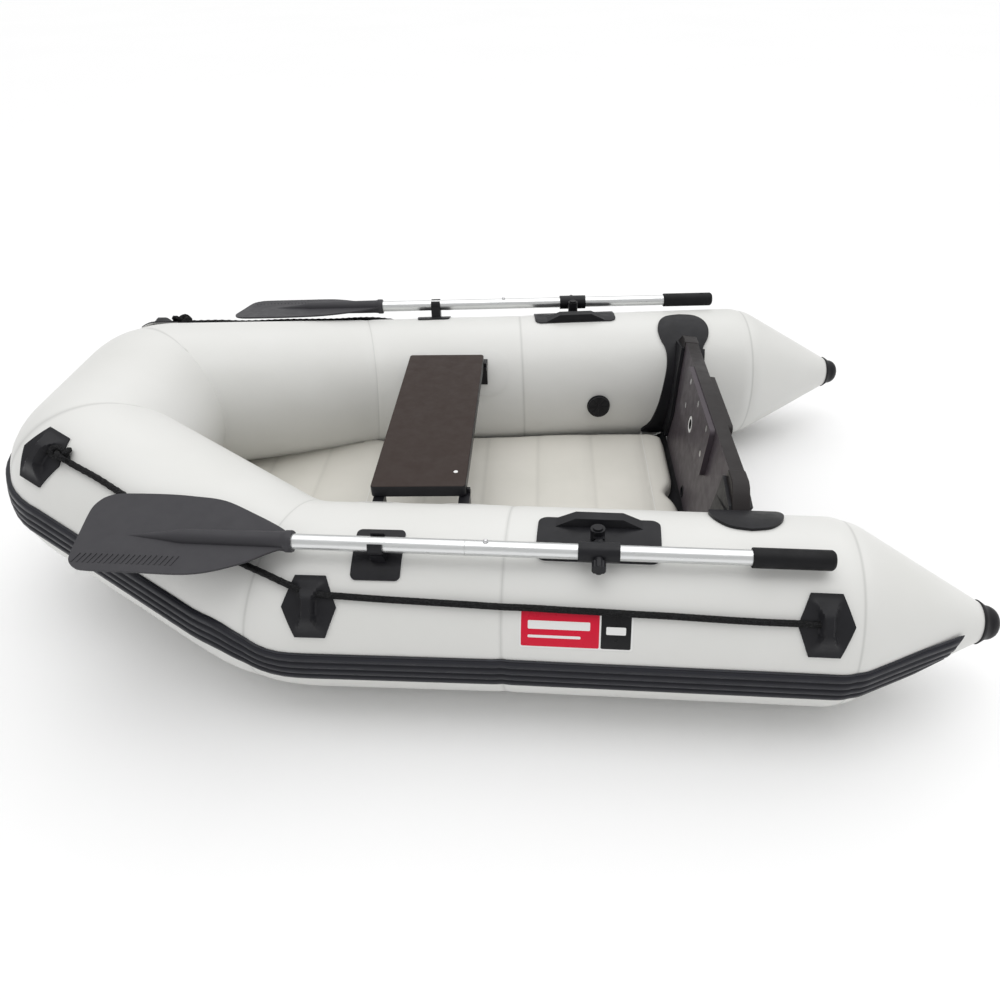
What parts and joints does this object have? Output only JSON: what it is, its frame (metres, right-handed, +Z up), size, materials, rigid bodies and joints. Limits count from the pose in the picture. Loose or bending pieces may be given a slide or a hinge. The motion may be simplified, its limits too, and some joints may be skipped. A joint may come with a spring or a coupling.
{
  "type": "inflatable dinghy",
  "caption": "Small inflatable dinghy with round side tubes and cone sterns, a flat air deck, a raked transom with motor pads, a bench seat, stowed oars in swivel oarlocks and grab ropes.",
  "frame": {"origin": "under the middle of the hull, on the ground", "axes": "+X points aft, +Y to starboard, +Z up"},
  "size_m": [2.0069, 1.3904, 0.465],
  "materials": {
    "hull_fabric": "satin coated",
    "patch_fabric": "satin coated",
    "deck_fabric": "satin coated",
    "bottom_fabric": "satin coated",
    "black_rubber": "matte ribbed",
    "dark_board": "fine grain",
    "seat_plastic": "satin",
    "black_plastic": "satin",
    "blade_plastic": "satin",
    "grip_rubber": "matte",
    "shaft_aluminium": "anodised satin",
    "steel": "bright",
    "black_cord": "braided",
    "decal": "gloss",
    "white_plastic": "gloss"
  },
  "bodies": {
    "hull": {"bow_tube": "hull_fabric", "port_bow_tube": "hull_fabric", "starboard_bow_tube": "hull_fabric", "port_mid_tube": "hull_fabric", "starboard_mid_tube": "hull_fabric", "port_aft_tube": "hull_fabric", "starboard_aft_tube": "hull_fabric", "port_stern_cone": "hull_fabric", "starboard_stern_cone": "hull_fabric", "bow_baffle": "hull_fabric", "stern_end_caps": "black_rubber", "rub_strake": "black_rubber", "air_deck": "deck_fabric", "deck_webs": "deck_fabric", "bottom_sheet": "bottom_fabric", "transom_board": "dark_board", "transom_inner_pad": "dark_board", "transom_outer_pad": "dark_board", "transom_pad_bolts": "steel", "port_transom_holder": "black_rubber", "starboard_transom_holder": "black_rubber", "drain_socket": "black_rubber", "line_grommet": "white_plastic", "seat_hooks": "black_plastic", "seat_hook_patches": "patch_fabric", "side_decals": "decal", "port_valve_body": "black_plastic", "port_oarlock_base": "black_plastic", "port_oarlock_pin": "steel", "port_oar_clip": "black_plastic", "port_rope_pads": "black_plastic", "port_grab_rope": "black_cord", "starboard_valve_body": "black_plastic", "starboard_oarlock_base": "black_plastic", "starboard_oarlock_pin": "steel", "starboard_oar_clip": "black_plastic", "starboard_rope_pads": "black_plastic", "starboard_grab_rope": "black_cord"},
    "port_yoke": {"port_oarlock_yoke": "black_plastic"},
    "port_sleeve": {"port_oar_sleeve": "black_plastic"},
    "port_knob": {"port_sleeve_knob": "black_plastic"},
    "port_oar": {"port_oar_blade": "blade_plastic", "port_shaft_front": "shaft_aluminium", "port_shaft_rear": "shaft_aluminium", "port_oar_grip": "grip_rubber"},
    "port_button": {"port_snap_button": "steel"},
    "port_cap": {"port_valve_cap": "black_plastic"},
    "port_poppet": {"port_valve_poppet": "steel"},
    "starboard_yoke": {"starboard_oarlock_yoke": "black_plastic"},
    "starboard_sleeve": {"starboard_oar_sleeve": "black_plastic"},
    "starboard_knob": {"starboard_sleeve_knob": "black_plastic"},
    "starboard_oar": {"starboard_oar_blade": "blade_plastic", "starboard_shaft_front": "shaft_aluminium", "starboard_shaft_rear": "shaft_aluminium", "starboard_oar_grip": "grip_rubber"},
    "starboard_button": {"starboard_snap_button": "steel"},
    "starboard_cap": {"starboard_valve_cap": "black_plastic"},
    "starboard_poppet": {"starboard_valve_poppet": "steel"},
    "seat": {"seat_board": "seat_plastic"},
    "plug": {"drain_plug": "black_rubber"}
  },
  "joints": [
    {"name": "port_oar_swing", "type": "hinge", "parent": "hull", "child": "port_yoke", "pos_m": [0.23468, -0.52017, 0.37349], "axis": [0, 0, 1], "range_deg": [0, 35], "deforming": ["port_oar_clip"]},
    {"name": "port_oar_dip", "type": "hinge", "parent": "port_yoke", "child": "port_sleeve", "pos_m": [0.23468, -0.56417, 0.37349], "axis": [-0.0594, -0.9982, 0], "range_deg": [0, 7]},
    {"name": "port_oar_feather", "type": "hinge", "parent": "port_sleeve", "child": "port_oar", "pos_m": [0.23468, -0.56417, 0.37349], "axis": [0.9982, -0.0594, -0.0065], "range_deg": [0, 30]},
    {"name": "port_knob_turn", "type": "hinge", "parent": "port_sleeve", "child": "port_knob", "pos_m": [0.2329, -0.59366, 0.36828], "axis": [-0.0596, -0.983, -0.1736], "range_deg": [0, 270]},
    {"name": "port_button_press", "type": "slide", "parent": "port_oar", "child": "port_button", "axis": [-0.0065, 0.0004, -1], "range_m": [0, 0.005], "stiffness_N_per_m": 200},
    {"name": "port_cap_turn", "type": "hinge", "parent": "hull", "child": "port_cap", "pos_m": [0.28588, -0.29872, 0.18628], "axis": [0.0707, 0.9969, 0.0349], "range_deg": [0, 90]},
    {"name": "port_poppet_press", "type": "slide", "parent": "hull", "child": "port_poppet", "axis": [-0.0707, -0.9969, -0.0349], "range_m": [0, 0.004], "stiffness_N_per_m": 200},
    {"name": "starboard_oar_swing", "type": "hinge", "parent": "hull", "child": "starboard_yoke", "pos_m": [0.22068, 0.52017, 0.37349], "axis": [0, 0, -1], "range_deg": [0, 35], "deforming": ["starboard_oar_clip"]},
    {"name": "starboard_oar_dip", "type": "hinge", "parent": "starboard_yoke", "child": "starboard_sleeve", "pos_m": [0.22068, 0.56417, 0.37349], "axis": [0.0594, -0.9982, 0], "range_deg": [0, 7]},
    {"name": "starboard_oar_feather", "type": "hinge", "parent": "starboard_sleeve", "child": "starboard_oar", "pos_m": [0.22068, 0.56417, 0.37349], "axis": [-0.9982, -0.0594, 0.0065], "range_deg": [0, 30]},
    {"name": "starboard_knob_turn", "type": "hinge", "parent": "starboard_sleeve", "child": "starboard_knob", "pos_m": [0.2189, 0.59366, 0.36828], "axis": [-0.0596, 0.983, -0.1736], "range_deg": [0, 270]},
    {"name": "starboard_button_press", "type": "slide", "parent": "starboard_oar", "child": "starboard_button", "axis": [-0.0065, -0.0004, -1], "range_m": [0, 0.005], "stiffness_N_per_m": 200},
    {"name": "starboard_cap_turn", "type": "hinge", "parent": "hull", "child": "starboard_cap", "pos_m": [0.28588, 0.29872, 0.18628], "axis": [0.0707, -0.9969, 0.0349], "range_deg": [0, 90]},
    {"name": "starboard_poppet_press", "type": "slide", "parent": "hull", "child": "starboard_poppet", "axis": [-0.0707, 0.9969, -0.0349], "range_m": [0, 0.004], "stiffness_N_per_m": 200},
    {"name": "seat_lift", "type": "slide", "parent": "hull", "child": "seat", "axis": [0, 0, 1], "range_m": [0, 0.08]},
    {"name": "plug_pull", "type": "slide", "parent": "hull", "child": "plug", "axis": [0.994, 0, -0.1097], "range_m": [0, 0.045]}
  ],
  "couplings": [
    {"joint": "port_oar_dip", "follows": "port_oar_swing", "ratio": 0.2},
    {"joint": "starboard_oar_dip", "follows": "starboard_oar_swing", "ratio": 0.2}
  ]
}
